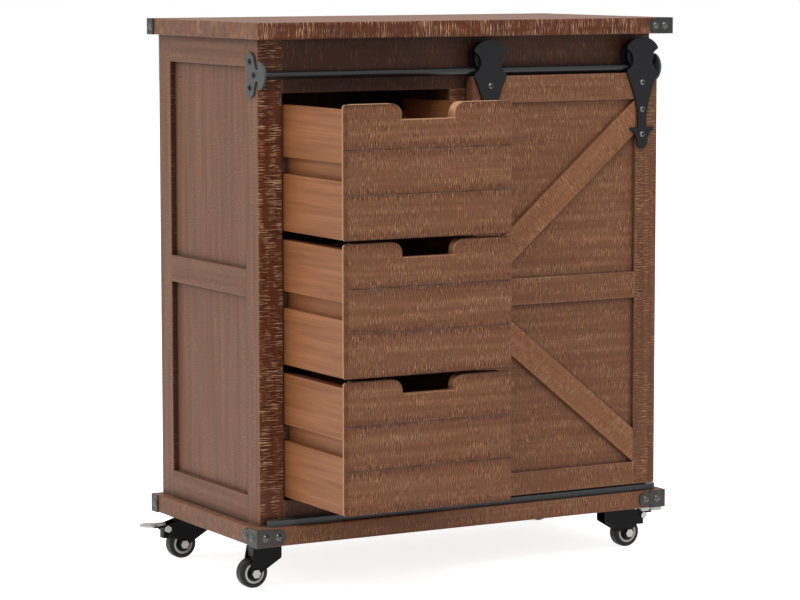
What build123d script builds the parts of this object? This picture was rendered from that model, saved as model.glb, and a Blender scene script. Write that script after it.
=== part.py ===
from build123d import *
from math import asin, degrees
import os

os.makedirs("parts", exist_ok=True)

# Storage cabinet on casters, with three drawers on the left and a sliding plank door on the right.
# Millimetres. X runs to the right, Y to the back and Z up. The origin is on the floor, under the
# middle of the top board. The drawers are modelled open and the door at its right-hand end.

# Top and base boards
cabinet_width = 650.0
cabinet_depth = 339.0
top_thickness = 22.5
base_thickness = 25.0
base_setback = 9.5
board_round = 2.0

# Carcass frame
carcass_height = 651.0
side_overhang = 15.0
door_ledge = 22.0
post_width = 36.0
post_depth = 37.0
frame_rail_height = 37.0
frame_rail_thickness = 20.0
middle_rail_rise = 306.0
front_top_rail_height = 72.0
front_bottom_rail_height = 32.5
drawer_bay_width = 257.0
panel_thickness = 9.0
panel_recess = 8.0
frame_round = 1.0

# Shelf in the right-hand compartment
shelf_thickness = 14.0
shelf_gap = 1.0
cleat_width = 15.0
cleat_height = 20.0

# Drawers and their runners
drawer_names = ("bottom", "middle", "top")
drawer_open = 168.0
drawer_length = 268.0
drawer_side_gap = 2.0
drawer_gap_below = 3.5
drawer_gap_between = 4.0
drawer_gap_above = 8.5
drawer_front_thickness = 18.0
drawer_lip = 4.5
drawer_corner_round = 4.0
drawer_face_round = 1.5
drawer_side_thickness = 15.0
drawer_side_drop = 7.0
drawer_side_rise = 1.5
drawer_back_thickness = 12.0
drawer_back_drop = 24.0
drawer_bottom_thickness = 6.0
drawer_bottom_rise = 10.0
plank_count = 3
plank_groove_width = 2.2
plank_groove_depth = 0.8
notch_width = 79.0
notch_depth = 21.0
notch_shoulder_round = 15.0
notch_floor_round = 2.0
runner_height = 21.0
runner_projection = 9.0
runner_lip_gap = 1.0
runner_running_gap = 0.3
runner_lower_gap = 1.7
runner_back_inset = 4.0
groove_depth = 9.0
groove_rise = 100.2

# Sliding door
door_thickness = 20.0
door_gap = 2.5
door_lap = 12.0
door_end_gap = 1.5
door_rod_gap = 1.7
door_track_gap = 4.0
door_stile_width = 36.0
door_rail_height = 37.0
door_bottom_rail_height = 32.0
door_middle_rail_rise = 267.0
door_panel_thickness = 8.0
door_panel_recess = 6.0
brace_end_height = 47.5

# Rod, rollers and hangers that carry the door
rod_radius = 5.5
roller_running_gap = 0.3
roller_root_radius = 11.7
roller_flange_radius = 22.0
roller_width = 16.6
roller_axle_radius = 4.0
axle_clearance = 0.05
axle_side_gap = 0.3
axle_collar_radius = 6.5
axle_head_radius = 7.0
axle_head_thickness = 1.5
hanger_inset = 26.5
hanger_thickness = 3.0
hanger_half_width = 26.0
hanger_rise = 25.5
hanger_drop = 130.5
hanger_head_clearance = 4.5
hanger_bolt_radius = 4.2
hanger_bolt_height = 2.4
hanger_socket_radius = 1.8
hanger_socket_depth = 1.3
hanger_bolt_shares = (0.291, 0.582, 0.85)
hanger_head_edge_shares = (1.04, 0.07)
hanger_ear_round = 3.0
hanger_neck_shares = (0.61, -0.077)
hanger_shoulder_shares = (0.94, -0.158)
hanger_flank_shares = (1.0, -0.19)
hanger_taper_shares = (0.545, -0.404)
hanger_leg_shares = (0.29, -0.617)
hanger_waist_shares = (0.26, -0.775)
hanger_barb_shares = (0.8, -0.785)
hanger_barb_curve_shares = (0.42, -0.862)
hanger_nose_shares = (0.33, -0.915)

# End plates that hold the rod
plate_thickness = 3.0
plate_front_radius = 19.5
plate_neck_half_height = 7.75
plate_neck_reach = 1.0
plate_lobe_reach = 17.5
plate_lobe_half_span = 17.4
plate_lobe_radius = 12.5
plate_rear_reach = 24.5
plate_corner_round = 3.0
plate_front_screw_reach = 5.5
plate_screw_radius = 4.0
plate_screw_height = 2.8

# Floor track and door guides
track_width = 13.0
track_height = 8.0
track_left_inset = 7.0
track_right_overhang = 9.0
track_groove_width = 6.0
track_groove_depth = 5.0
track_groove_end = 16.0
guide_thickness = 4.0
guide_length = 22.0
guide_inset = 40.0
guide_floor_gap = 1.0

# Corner brackets and their rivets
bracket_thickness = 2.0
bracket_leg_length = 23.0
bracket_short_length = 17.0
base_bracket_reach = 30.5
top_bracket_reach = 26.5
bracket_lobe_share = 0.43
bracket_rivet_reach = 11.5
rivet_radius = 5.5
rivet_height = 3.2

# Casters
wheel_radius = 20.5
wheel_width = 17.0
wheel_edge_round = 3.5
rim_radius = 14.0
rim_inner_radius = 11.2
rim_dish = 1.5
caster_plate_size = 46.0
caster_plate_thickness = 3.0
caster_screw_half_span = 16.0
caster_screw_radius = 3.4
caster_screw_height = 1.6
race_radius = 16.0
race_thickness = 2.0
race_taper = 20.0
crown_thickness = 2.5
crown_gap = 0.3
crown_wheel_gap = 12.7
kingpin_radius = 4.0
kingpin_head_radius = 7.0
kingpin_head_thickness = 2.0
caster_trail = 20.0
leg_thickness = 2.0
leg_wheel_gap = 1.0
leg_back_reach = 19.5
leg_front_reach = 22.0
leg_skirt_height = 14.7
leg_corner_round = 4.0
hood_thickness = 2.0
hood_wheel_gap = 1.7
axle_boss_radius = 8.5
wheel_axle_radius = 3.0
axle_nut_radius = 6.3
axle_nut_height = 4.0
front_left_caster_inset = 34.0
back_left_caster_inset = 40.5
right_caster_inset = 56.0
caster_edge_inset = 46.0
pedal_pivot_reach = 25.0
pedal_pivot_rise = 24.0
pedal_pin_radius = 2.0
pedal_lug_radius = 5.0
pedal_barrel_radius = 4.0
pedal_side_gap = 0.5
pedal_arm_width = 12.0
pedal_arm_length = 18.0
pedal_arm_thickness = 3.0
pedal_pad_rise = 4.5
pedal_pad_thickness = 2.5
pedal_pad_length = 24.0
pedal_pad_width = 26.0
pedal_pad_reach = 13.0
pedal_shoe_width = 8.0
pedal_shoe_drop = 14.0

# One overrun for every cut
overrun = 1.0

# Main levels and edges
fork_height = 2 * wheel_radius + crown_wheel_gap + crown_thickness
caster_height = fork_height + crown_gap + race_thickness + caster_plate_thickness
carcass_low = caster_height + base_thickness
carcass_high = carcass_low + carcass_height
cabinet_side = cabinet_width / 2
cabinet_back = cabinet_depth / 2
cabinet_front = -cabinet_back
base_front = cabinet_front + base_setback
carcass_side = cabinet_side - side_overhang
carcass_front = base_front + door_ledge
carcass_inner = carcass_side - post_width
post_back = carcass_front + post_depth
back_post_front = cabinet_back - post_depth
rail_back = carcass_front + frame_rail_thickness
back_rail_front = cabinet_back - frame_rail_thickness
panel_front = cabinet_back - panel_recess - panel_thickness
opening_low = carcass_low + front_bottom_rail_height
opening_high = carcass_high - front_top_rail_height
bay_left = -carcass_inner
bay_right = bay_left + drawer_bay_width
centre_post_right = bay_right + post_width
centre_back_post_front = back_rail_front - post_depth
side_panel_x = carcass_side - panel_recess
side_rail_inner = carcass_side - frame_rail_thickness
middle_rail_low = carcass_low + middle_rail_rise
middle_rail_high = middle_rail_low + frame_rail_height
divider_left = (bay_right + centre_post_right - panel_thickness) / 2
divider_right = divider_left + panel_thickness

low_corner = (Align.MIN, Align.MIN, Align.MIN)
standing = (Align.CENTER, Align.CENTER, Align.MIN)


def block(x_span, y_span, z_span, mode=Mode.ADD):
    """Box between two X, two Y and two Z values, in the part that is being built."""
    with Locations((x_span[0], y_span[0], z_span[0])):
        size_x = x_span[1] - x_span[0]
        size_y = y_span[1] - y_span[0]
        size_z = z_span[1] - z_span[0]
        Box(size_x, size_y, size_z, align=low_corner, mode=mode)


def dome(radius, height):
    """Domed head on each current location, its flat side down."""
    ball_radius = (radius**2 + height**2) / (2 * height)
    base_angle = degrees(asin((ball_radius - height) / ball_radius))
    Sphere(ball_radius, arc_size1=base_angle, align=standing)


def save(part, name):
    """Label a finished part and write its STEP file."""
    part.label = name
    export_step(part, f"parts/{name}.step")


# Top and base boards, with worn edges
with BuildPart() as top_board:
    top_span = (carcass_high, carcass_high + top_thickness)
    block((-cabinet_side, cabinet_side), (cabinet_front, cabinet_back), top_span)
    fillet(top_board.edges(), board_round)
save(top_board.part, "top_board")

with BuildPart() as base_board:
    block((-cabinet_side, cabinet_side), (base_front, cabinet_back), (caster_height, carcass_low))
    fillet(base_board.edges(), board_round)
save(base_board.part, "base_board")

# Corner posts
post_spans_x = {"left": (-carcass_side, -carcass_inner), "right": (carcass_inner, carcass_side)}
post_spans_y = {"front": (carcass_front, post_back), "back": (back_post_front, cabinet_back)}
carcass_span = (carcass_low, carcass_high)
for side, x_span in post_spans_x.items():
    for end, y_span in post_spans_y.items():
        with BuildPart() as corner_post:
            block(x_span, y_span, carcass_span)
            fillet(corner_post.edges().filter_by(Axis.Z), frame_round)
        save(corner_post.part, f"{end}_{side}_post")

# Centre posts, front and back of the divider
with BuildPart() as centre_posts:
    block((bay_right, centre_post_right), (carcass_front, post_back), (opening_low, opening_high))
    block((bay_right, centre_post_right), (centre_back_post_front, back_rail_front), carcass_span)
    fillet(centre_posts.edges().filter_by(Axis.Z), frame_round)
save(centre_posts.part, "centre_posts")

# Front rails above and below the drawers
with BuildPart() as front_top_rail:
    block((bay_left, carcass_inner), (carcass_front, rail_back), (opening_high, carcass_high))
    fillet(front_top_rail.edges().filter_by(Axis.X), frame_round)
save(front_top_rail.part, "front_top_rail")

with BuildPart() as front_bottom_rail:
    block((bay_left, carcass_inner), (carcass_front, rail_back), (carcass_low, opening_low))
    fillet(front_bottom_rail.edges().filter_by(Axis.X), frame_round)
save(front_bottom_rail.part, "front_bottom_rail")

# Side rails at three heights, with recessed panels between them
rail_span_low = (carcass_low, carcass_low + frame_rail_height)
rail_span_middle = (middle_rail_low, middle_rail_high)
rail_span_high = (carcass_high - frame_rail_height, carcass_high)
side_spans_x = ((-carcass_side, -side_rail_inner), (side_rail_inner, carcass_side))
with BuildPart() as side_rails:
    for x_span in side_spans_x:
        for z_span in (rail_span_low, rail_span_middle, rail_span_high):
            block(x_span, (post_back, back_post_front), z_span)
    fillet(side_rails.edges().filter_by(Axis.Y), frame_round)
save(side_rails.part, "side_rails")

panel_spans_x = (
    (-side_panel_x, -side_panel_x + panel_thickness),
    (side_panel_x - panel_thickness, side_panel_x),
)
with BuildPart() as side_panels:
    for x_span in panel_spans_x:
        block(x_span, (post_back, back_post_front), (rail_span_low[1], rail_span_middle[0]))
        block(x_span, (post_back, back_post_front), (rail_span_middle[1], rail_span_high[0]))
save(side_panels.part, "side_panels")

# Back rails and back panel
with BuildPart() as back_rails:
    for z_span in (rail_span_low, rail_span_high):
        block((-carcass_inner, carcass_inner), (back_rail_front, cabinet_back), z_span)
    fillet(back_rails.edges().filter_by(Axis.X), frame_round)
save(back_rails.part, "back_rails")

with BuildPart() as back_panel:
    panel_span_y = (panel_front, panel_front + panel_thickness)
    block((-carcass_inner, carcass_inner), panel_span_y, (rail_span_low[1], rail_span_high[0]))
save(back_panel.part, "back_panel")

# Divider between the drawers and the compartment
with BuildPart() as divider_panel:
    block((divider_left, divider_right), (post_back, centre_back_post_front), carcass_span)
save(divider_panel.part, "divider_panel")

# Shelf on two cleats, level with the middle side rails
cleat_high = middle_rail_low + cleat_height
shelf_span_y = (post_back + shelf_gap, centre_back_post_front - shelf_gap)
with BuildPart() as shelf_cleats:
    block((divider_right, divider_right + cleat_width), shelf_span_y, (middle_rail_low, cleat_high))
    block((side_rail_inner - cleat_width, side_rail_inner), shelf_span_y, (middle_rail_low, cleat_high))
save(shelf_cleats.part, "shelf_cleats")

with BuildPart() as shelf:
    shelf_span_x = (divider_right + shelf_gap, side_rail_inner - shelf_gap)
    block(shelf_span_x, shelf_span_y, (cleat_high, cleat_high + shelf_thickness))
save(shelf.part, "shelf")

# Drawer heights share the opening between the front rails
drawer_count = len(drawer_names)
drawer_room = opening_high - opening_low - drawer_gap_below - drawer_gap_above
drawer_height = (drawer_room - (drawer_count - 1) * drawer_gap_between) / drawer_count
drawer_step = drawer_height + drawer_gap_between
drawer_lows = [opening_low + drawer_gap_below + index * drawer_step for index in range(drawer_count)]
drawer_left = bay_left + drawer_side_gap
drawer_right = bay_right - drawer_side_gap
drawer_width = drawer_right - drawer_left
drawer_middle = (drawer_left + drawer_right) / 2
drawer_face = carcass_front - drawer_open
drawer_end = drawer_face + drawer_length
inside_left = drawer_left + drawer_side_thickness
inside_right = drawer_right - drawer_side_thickness
front_back = drawer_face + drawer_front_thickness
side_start = drawer_face + drawer_lip
groove_height = runner_running_gap + runner_height + runner_lower_gap

# Runners on the posts, in the grooves of the drawer sides
runner_front = carcass_front + drawer_lip + runner_lip_gap
runner_back = back_rail_front - runner_back_inset
with BuildPart() as drawer_runners:
    for drawer_low in drawer_lows:
        runner_high = drawer_low + groove_rise - runner_running_gap
        runner_span_z = (runner_high - runner_height, runner_high)
        block((bay_left, bay_left + runner_projection), (runner_front, runner_back), runner_span_z)
        block((bay_right - runner_projection, bay_right), (runner_front, runner_back), runner_span_z)
save(drawer_runners.part, "drawer_runners")

# Drawers: planked front with a finger notch, grooved sides, back and bottom
for drawer_name, drawer_low in zip(drawer_names, drawer_lows):
    drawer_high = drawer_low + drawer_height
    side_span_z = (drawer_low + drawer_side_rise, drawer_high - drawer_side_drop)
    rebate_span_z = (drawer_low - overrun, drawer_high + overrun)
    bottom_low = drawer_low + drawer_bottom_rise

    with BuildPart() as drawer_front:
        with BuildSketch(Plane.XZ.offset(-front_back)) as front_outline:
            with Locations((drawer_middle, drawer_low + drawer_height / 2)):
                Rectangle(drawer_width, drawer_height)
            with Locations((drawer_middle, drawer_high)):
                Rectangle(notch_width, 2 * notch_depth, mode=Mode.SUBTRACT)
            fillet(front_outline.vertices().sort_by(Axis.X)[2:-2].group_by(Axis.Y)[-1], notch_shoulder_round)
            fillet(front_outline.vertices().group_by(Axis.Y)[1], notch_floor_round)
            outline_points = front_outline.vertices().sort_by(Axis.X)
            fillet(outline_points[:2] + outline_points[-2:], drawer_corner_round)
        extrude(amount=drawer_front_thickness)
        fillet(drawer_front.faces().sort_by(Axis.Y)[0].edges(), drawer_face_round)
        for x_span in ((drawer_left - overrun, inside_left), (inside_right, drawer_right + overrun)):
            block(x_span, (side_start, front_back + overrun), rebate_span_z, mode=Mode.SUBTRACT)
        with BuildSketch(Plane.YZ.offset(drawer_left - overrun)):
            for plank in range(1, plank_count):
                groove_z = drawer_low + plank * drawer_height / plank_count
                with BuildLine():
                    Polyline(
                        (drawer_face, groove_z + plank_groove_width / 2),
                        (drawer_face + plank_groove_depth, groove_z),
                        (drawer_face, groove_z - plank_groove_width / 2),
                        close=True,
                    )
                make_face()
        extrude(amount=drawer_width + 2 * overrun, mode=Mode.SUBTRACT)
    save(drawer_front.part, f"{drawer_name}_drawer_front")

    groove_high = drawer_low + groove_rise
    groove_span_z = (groove_high - groove_height, groove_high)
    with BuildPart() as drawer_sides:
        block((drawer_left, inside_left), (side_start, drawer_end), side_span_z)
        block((inside_right, drawer_right), (side_start, drawer_end), side_span_z)
        groove_span_y = (side_start - overrun, drawer_end + overrun)
        left_groove_x = (drawer_left - overrun, drawer_left + groove_depth)
        right_groove_x = (drawer_right - groove_depth, drawer_right + overrun)
        block(left_groove_x, groove_span_y, groove_span_z, mode=Mode.SUBTRACT)
        block(right_groove_x, groove_span_y, groove_span_z, mode=Mode.SUBTRACT)
    save(drawer_sides.part, f"{drawer_name}_drawer_sides")

    with BuildPart() as drawer_back:
        back_span_y = (drawer_end - drawer_back_thickness, drawer_end)
        block((inside_left, inside_right), back_span_y, (side_span_z[0], drawer_high - drawer_back_drop))
    save(drawer_back.part, f"{drawer_name}_drawer_back")

    with BuildPart() as drawer_bottom:
        bottom_span_y = (front_back, drawer_end - drawer_back_thickness)
        bottom_span_z = (bottom_low, bottom_low + drawer_bottom_thickness)
        block((inside_left, inside_right), bottom_span_y, bottom_span_z)
    save(drawer_bottom.part, f"{drawer_name}_drawer_bottom")

# Door planes, and the levels of the rod that it hangs on
door_left = centre_post_right - door_lap
door_right = carcass_side - door_end_gap
door_back = carcass_front - door_gap
door_front = door_back - door_thickness
door_panel_face = door_front + door_panel_recess
axle_z = carcass_high - hanger_head_clearance - hanger_rise
rod_z = axle_z - roller_root_radius - roller_running_gap - rod_radius
rod_y = (door_front + door_back) / 2
track_high = carcass_low + track_height
door_low = track_high + door_track_gap
door_high = rod_z - rod_radius - door_rod_gap
stile_inner_left = door_left + door_stile_width
stile_inner_right = door_right - door_stile_width
door_span_y = (door_front, door_back)
door_bottom_rail_high = door_low + door_bottom_rail_height
door_middle_rail_low = door_low + door_middle_rail_rise
door_middle_rail_high = door_middle_rail_low + door_rail_height
door_top_rail_low = door_high - door_rail_height

# Door stiles, rails, panels and braces
stile_spans_x = {"left": (door_left, stile_inner_left), "right": (stile_inner_right, door_right)}
for side, x_span in stile_spans_x.items():
    with BuildPart() as door_stile:
        block(x_span, door_span_y, (door_low, door_high))
        fillet(door_stile.edges().filter_by(Axis.Z), frame_round)
    save(door_stile.part, f"door_{side}_stile")

door_inside = (stile_inner_left, stile_inner_right)
with BuildPart() as door_rails:
    block(door_inside, door_span_y, (door_low, door_bottom_rail_high))
    block(door_inside, door_span_y, (door_middle_rail_low, door_middle_rail_high))
    block(door_inside, door_span_y, (door_top_rail_low, door_high))
    fillet(door_rails.edges().filter_by(Axis.X), frame_round)
save(door_rails.part, "door_rails")

with BuildPart() as door_panels:
    panel_span_y = (door_panel_face, door_panel_face + door_panel_thickness)
    block(door_inside, panel_span_y, (door_bottom_rail_high, door_middle_rail_low))
    block(door_inside, panel_span_y, (door_middle_rail_high, door_top_rail_low))
save(door_panels.part, "door_panels")

with BuildPart() as door_braces:
    with BuildSketch(Plane.XZ.offset(-door_panel_face)):
        with BuildLine():
            Polyline(
                (stile_inner_left, door_middle_rail_high),
                (stile_inner_right, door_top_rail_low - brace_end_height),
                (stile_inner_right, door_top_rail_low),
                (stile_inner_left, door_middle_rail_high + brace_end_height),
                close=True,
            )
        make_face()
        with BuildLine():
            Polyline(
                (stile_inner_left, door_middle_rail_low),
                (stile_inner_right, door_bottom_rail_high + brace_end_height),
                (stile_inner_right, door_bottom_rail_high),
                (stile_inner_left, door_middle_rail_low - brace_end_height),
                close=True,
            )
        make_face()
    extrude(amount=door_panel_recess)
    fillet(door_braces.faces().sort_by(Axis.Y)[0:2].edges(), frame_round)
save(door_braces.part, "door_braces")

# Hanger straps on the door, with bolts
hanger_places_x = (door_left + hanger_inset, door_right - hanger_inset)


def hanger_point(shares, centre_x, side):
    """Point of the hanger outline at a share of its half width and of its drop."""
    return (centre_x + side * shares[0] * hanger_half_width, axle_z + shares[1] * hanger_drop)


with BuildPart() as hangers:
    with BuildSketch(Plane.XZ.offset(-door_front)) as hanger_outline:
        for centre_x in hanger_places_x:
            tip = (centre_x, axle_z - hanger_drop)
            with BuildLine():
                head_left = hanger_point(hanger_head_edge_shares, centre_x, -1)
                head_right = hanger_point(hanger_head_edge_shares, centre_x, 1)
                ThreePointArc(head_left, (centre_x, axle_z + hanger_rise), head_right)
                for side, head_edge in ((-1, head_left), (1, head_right)):
                    shoulder = hanger_point(hanger_shoulder_shares, centre_x, side)
                    barb = hanger_point(hanger_barb_shares, centre_x, side)
                    nose = hanger_point(hanger_nose_shares, centre_x, side)
                    ThreePointArc(head_edge, hanger_point(hanger_neck_shares, centre_x, side), shoulder)
                    flank = hanger_point(hanger_flank_shares, centre_x, side)
                    leg = hanger_point(hanger_leg_shares, centre_x, side)
                    Line(shoulder, flank)
                    ThreePointArc(flank, hanger_point(hanger_taper_shares, centre_x, side), leg)
                    Polyline(leg, hanger_point(hanger_waist_shares, centre_x, side), barb)
                    ThreePointArc(barb, hanger_point(hanger_barb_curve_shares, centre_x, side), nose)
                nose_left = hanger_point(hanger_nose_shares, centre_x, -1)
                nose_right = hanger_point(hanger_nose_shares, centre_x, 1)
                ThreePointArc(nose_left, tip, nose_right)
            make_face()
            for ear_x, ear_z in (head_left, head_right):
                fillet(hanger_outline.vertices().sort_by_distance((ear_x, ear_z, 0))[0], hanger_ear_round)
    extrude(amount=hanger_thickness)
save(hangers.part, "hangers")

hanger_face = door_front - hanger_thickness
bolt_places = []
socket_places = []
for centre_x in hanger_places_x:
    for share in hanger_bolt_shares:
        bolt_z = axle_z - share * hanger_drop
        bolt_places.append(Plane((centre_x, hanger_face, bolt_z), z_dir=(0, -1, 0)))
        socket_y = hanger_face - hanger_bolt_height + hanger_socket_depth
        socket_places.append(Plane((centre_x, socket_y, bolt_z), z_dir=(0, -1, 0)))
with BuildPart() as hanger_bolts:
    with Locations(*bolt_places):
        dome(hanger_bolt_radius, hanger_bolt_height)
    with Locations(*socket_places):
        Cylinder(hanger_socket_radius, hanger_bolt_height, align=standing, mode=Mode.SUBTRACT)
save(hanger_bolts.part, "hanger_bolts")

# Axle pins behind the straps, with a collar and a retaining head
roller_front = rod_y - roller_width / 2
roller_back = rod_y + roller_width / 2
head_start = roller_back + axle_side_gap
with BuildPart() as roller_axles:
    for centre_x in hanger_places_x:
        with BuildSketch(Plane.XZ.offset(-door_front)):
            with Locations((centre_x, axle_z)):
                Circle(axle_collar_radius)
        extrude(amount=door_front - roller_front + axle_side_gap)
        with BuildSketch(Plane.XZ.offset(-door_front)):
            with Locations((centre_x, axle_z)):
                Circle(roller_axle_radius)
        extrude(amount=door_front - head_start)
        with BuildSketch(Plane.XZ.offset(-head_start)):
            with Locations((centre_x, axle_z)):
                Circle(axle_head_radius)
        extrude(amount=-axle_head_thickness)
save(roller_axles.part, "roller_axles")

# Rollers that run on the rod: a sleeve between two flanges
rod_room = rod_radius + roller_running_gap
flange_thickness = roller_width / 2 - rod_room
bore_radius = roller_axle_radius + axle_clearance
for side, centre_x in zip(("left", "right"), hanger_places_x):
    with BuildPart() as sleeve:
        with BuildSketch(Plane.XZ.offset(-rod_y)):
            with Locations((centre_x, axle_z)):
                Circle(roller_root_radius)
                Circle(bore_radius, mode=Mode.SUBTRACT)
        extrude(amount=rod_room, both=True)
    with BuildPart() as flanges:
        for flange_y in (roller_front, rod_y + rod_room):
            with BuildSketch(Plane.XZ.offset(-flange_y)):
                with Locations((centre_x, axle_z)):
                    Circle(roller_flange_radius)
                    Circle(bore_radius, mode=Mode.SUBTRACT)
            extrude(amount=-flange_thickness)
    save(Compound(children=[sleeve.part, flanges.part]), f"{side}_roller")

# Rod and the plates that hold its ends
with BuildPart() as rail_rod:
    with BuildSketch(Plane.YZ.offset(-carcass_side)):
        with Locations((rod_y, rod_z)):
            Circle(rod_radius)
    extrude(amount=2 * carcass_side)
save(rail_rod.part, "rail_rod")

plate_chord = rod_y + rod_radius
neck_end = carcass_front + plate_neck_reach
lobe_y = carcass_front + plate_lobe_reach
lobe_front_y = lobe_y - plate_lobe_radius
lobe_rear_y = lobe_y + plate_lobe_radius
lobe_high = rod_z + plate_lobe_half_span
lobe_low = rod_z - plate_lobe_half_span
plate_signs = (-1, 1)
with BuildPart() as rail_plates:
    for sign in plate_signs:
        with BuildSketch(Plane.YZ.offset(sign * carcass_side)) as plate_outline:
            with BuildLine():
                Polyline(
                    (plate_chord, rod_z + plate_front_radius),
                    (plate_chord, rod_z + plate_neck_half_height),
                    (neck_end, rod_z + plate_neck_half_height),
                    (lobe_front_y, lobe_high),
                )
                lobe_tip_high = (lobe_y, lobe_high + plate_lobe_radius)
                lobe_tip_low = (lobe_y, lobe_low - plate_lobe_radius)
                rear_point = (carcass_front + plate_rear_reach, rod_z)
                ThreePointArc((lobe_front_y, lobe_high), lobe_tip_high, (lobe_rear_y, lobe_high))
                ThreePointArc((lobe_rear_y, lobe_high), rear_point, (lobe_rear_y, lobe_low))
                ThreePointArc((lobe_rear_y, lobe_low), lobe_tip_low, (lobe_front_y, lobe_low))
                Polyline(
                    (lobe_front_y, lobe_low),
                    (neck_end, rod_z - plate_neck_half_height),
                    (plate_chord, rod_z - plate_neck_half_height),
                    (plate_chord, rod_z - plate_front_radius),
                )
                ThreePointArc(
                    (plate_chord, rod_z - plate_front_radius),
                    (plate_chord - plate_front_radius, rod_z),
                    (plate_chord, rod_z + plate_front_radius),
                )
            make_face()
            fillet(plate_outline.vertices(), plate_corner_round)
        extrude(amount=sign * plate_thickness)
save(rail_plates.part, "rail_plates")

plate_screw_places = []
for sign in plate_signs:
    plate_face = sign * (carcass_side + plate_thickness)
    for screw_y, screw_z in (
        (lobe_y, lobe_high),
        (lobe_y, lobe_low),
        (carcass_front + plate_front_screw_reach, rod_z),
    ):
        plate_screw_places.append(Plane((plate_face, screw_y, screw_z), z_dir=(sign, 0, 0)))
with BuildPart() as rail_plate_screws:
    with Locations(*plate_screw_places):
        dome(plate_screw_radius, plate_screw_height)
save(rail_plate_screws.part, "rail_plate_screws")

# Round-ended floor track, and the guides that hang from the door into its groove
track_left = -carcass_side + track_left_inset
track_right = carcass_side + track_right_overhang
track_y = carcass_front - track_width / 2
track_groove_y = (track_y - track_groove_width / 2, track_y + track_groove_width / 2)
track_floor = track_high - track_groove_depth
with BuildPart() as door_track:
    with BuildSketch(Plane.XY.offset(carcass_low)):
        with Locations(((track_left + track_right) / 2, track_y)):
            SlotOverall(track_right - track_left, track_width)
    extrude(amount=track_height)
    groove_span_x = (track_left + track_groove_end, track_right - track_groove_end)
    block(groove_span_x, track_groove_y, (track_floor, track_high + overrun), mode=Mode.SUBTRACT)
save(door_track.part, "door_track")

guide_span_y = (track_y - guide_thickness / 2, track_y + guide_thickness / 2)
with BuildPart() as door_guides:
    for guide_x in (door_left + guide_inset, door_right - guide_inset):
        guide_span_x = (guide_x - guide_length / 2, guide_x + guide_length / 2)
        block(guide_span_x, guide_span_y, (track_floor + guide_floor_gap, door_low))
save(door_guides.part, "door_guides")

# Corner brackets that wrap the boards: the top board's front left corner is bare
top_corners = ((-1, 1), (1, -1), (1, 1))
base_corners = ((-1, -1), (-1, 1), (1, -1), (1, 1))
bracket_sets = (
    ("top_corner_brackets", top_corners, cabinet_front, carcass_high, top_thickness, top_bracket_reach),
    ("base_corner_brackets", base_corners, base_front, caster_height, base_thickness, base_bracket_reach),
)
rivet_places = []
for set_name, corners, front_edge, board_low, board_thickness, lobe_reach in bracket_sets:
    middle_z = board_low + board_thickness / 2
    lobe_radius = bracket_lobe_share * board_thickness
    with BuildPart() as corner_brackets:
        for sign_x, sign_y in corners:
            corner_x = sign_x * cabinet_side
            corner_y = front_edge if sign_y < 0 else cabinet_back
            face_x = corner_x + sign_x * bracket_thickness
            face_y = corner_y + sign_y * bracket_thickness
            long_side = sign_y < 0
            side_length = bracket_leg_length if long_side else bracket_short_length
            side_rivets = (bracket_rivet_reach, lobe_reach) if long_side else (bracket_rivet_reach,)
            leg_x = corner_x + sign_x * (bracket_thickness - bracket_leg_length) / 2
            with BuildSketch(Plane.XZ.offset(-corner_y)):
                with Locations((leg_x, middle_z)):
                    Rectangle(bracket_leg_length + bracket_thickness, board_thickness)
                with Locations((corner_x - sign_x * lobe_reach, middle_z)):
                    Circle(lobe_radius)
            extrude(amount=-sign_y * bracket_thickness)
            with BuildSketch(Plane.YZ.offset(corner_x)):
                with Locations((corner_y - sign_y * side_length / 2, middle_z)):
                    Rectangle(side_length, board_thickness)
                if long_side:
                    with Locations((corner_y - sign_y * lobe_reach, middle_z)):
                        Circle(lobe_radius)
            extrude(amount=sign_x * bracket_thickness)
            for reach in (bracket_rivet_reach, lobe_reach):
                rivet_places.append(Plane((corner_x - sign_x * reach, face_y, middle_z), z_dir=(0, sign_y, 0)))
            for reach in side_rivets:
                rivet_places.append(Plane((face_x, corner_y - sign_y * reach, middle_z), z_dir=(sign_x, 0, 0)))
    save(corner_brackets.part, set_name)

with BuildPart() as bracket_rivets:
    with Locations(*rivet_places):
        dome(rivet_radius, rivet_height)
save(bracket_rivets.part, "bracket_rivets")

# Caster places: swivel axis, the way the wheel trails and whether there is a brake
front_left_caster_x = front_left_caster_inset - cabinet_side
back_left_caster_x = back_left_caster_inset - cabinet_side
right_caster_x = cabinet_side - right_caster_inset
front_caster_y = base_front + caster_edge_inset
back_caster_y = cabinet_back - caster_edge_inset
casters = {
    "front_left": (front_left_caster_x, front_caster_y, -1, False),
    "back_left": (back_left_caster_x, back_caster_y, -1, True),
    "front_right": (right_caster_x, front_caster_y, 1, True),
    "back_right": (right_caster_x, back_caster_y, 1, False),
}
caster_plate_low = caster_height - caster_plate_thickness
race_low = caster_plate_low - race_thickness
crown_high = fork_height
crown_low = crown_high - crown_thickness
kingpin_head_high = crown_low - crown_gap
caster_points = [(x, y) for x, y, trail_sign, braked in casters.values()]
screw_steps = (-caster_screw_half_span, caster_screw_half_span)
screw_planes = [
    Plane((x + step_x, y + step_y, caster_plate_low), z_dir=(0, 0, -1))
    for x, y in caster_points
    for step_x in screw_steps
    for step_y in screw_steps
]

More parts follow.
